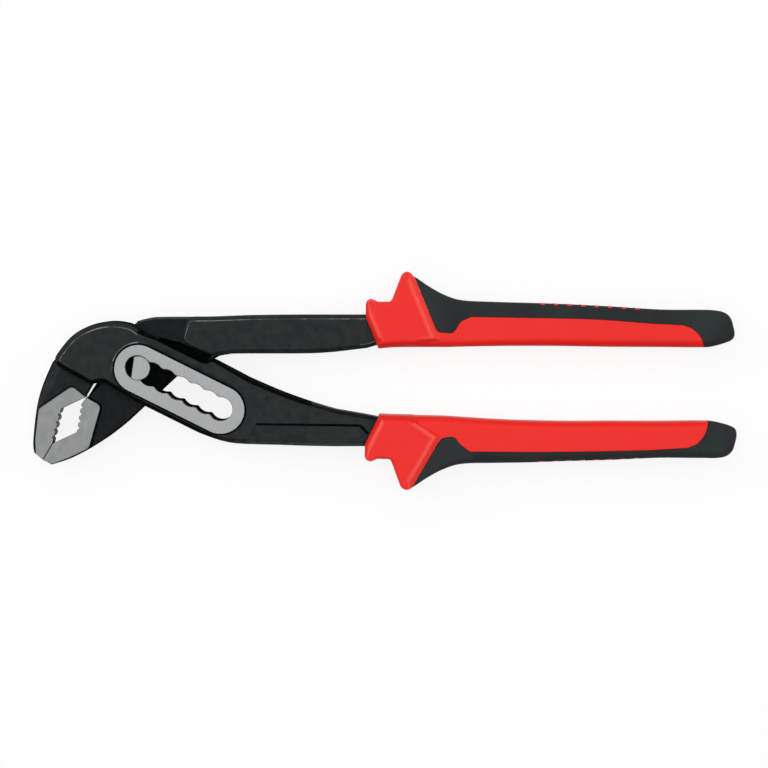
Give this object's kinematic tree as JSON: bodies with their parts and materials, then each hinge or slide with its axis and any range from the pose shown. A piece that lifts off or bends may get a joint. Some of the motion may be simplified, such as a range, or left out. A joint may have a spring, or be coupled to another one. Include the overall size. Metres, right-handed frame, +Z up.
{
  "type": "water pump pliers",
  "caption": "Box-joint water pump pliers: a slotted lever and an inner lever with toothed pipe jaws, a pivot pin that slides along a notched slot, and two-part grips with guards.",
  "frame": {"origin": "middle of the tool's outline, on the surface that it lies on", "axes": "+X from the jaws along the handles, +Y from the slotted lever's handle to the inner lever's handle, +Z up from the surface"},
  "size_m": [0.2492, 0.0776, 0.0168],
  "materials": {
    "forged_steel": "black burnished forging, satin, with ground jaw faces and slot surround",
    "ground_steel": "ground",
    "red_plastic": "moulded, satin",
    "black_rubber": "moulded soft cover, matt"
  },
  "bodies": {
    "slotted_lever": {"slotted_lever": "forged_steel", "lower_grip_core": "red_plastic", "lower_grip_cover": "black_rubber"},
    "pivot": {"pivot_pin": "ground_steel"},
    "inner_lever": {"inner_lever": "forged_steel", "upper_grip_core": "red_plastic", "upper_grip_cover": "black_rubber"}
  },
  "joints": [
    {"name": "notch_slide", "type": "slide", "parent": "slotted_lever", "child": "pivot", "axis": [0.8949, -0.4462, 0], "range_m": [0, 0.0325]},
    {"name": "lever_hinge", "type": "hinge", "parent": "pivot", "child": "inner_lever", "pos_m": [-0.08694, 0.0047, 0.008], "axis": [0, 0, 1], "range_deg": [0, 60]}
  ]
}
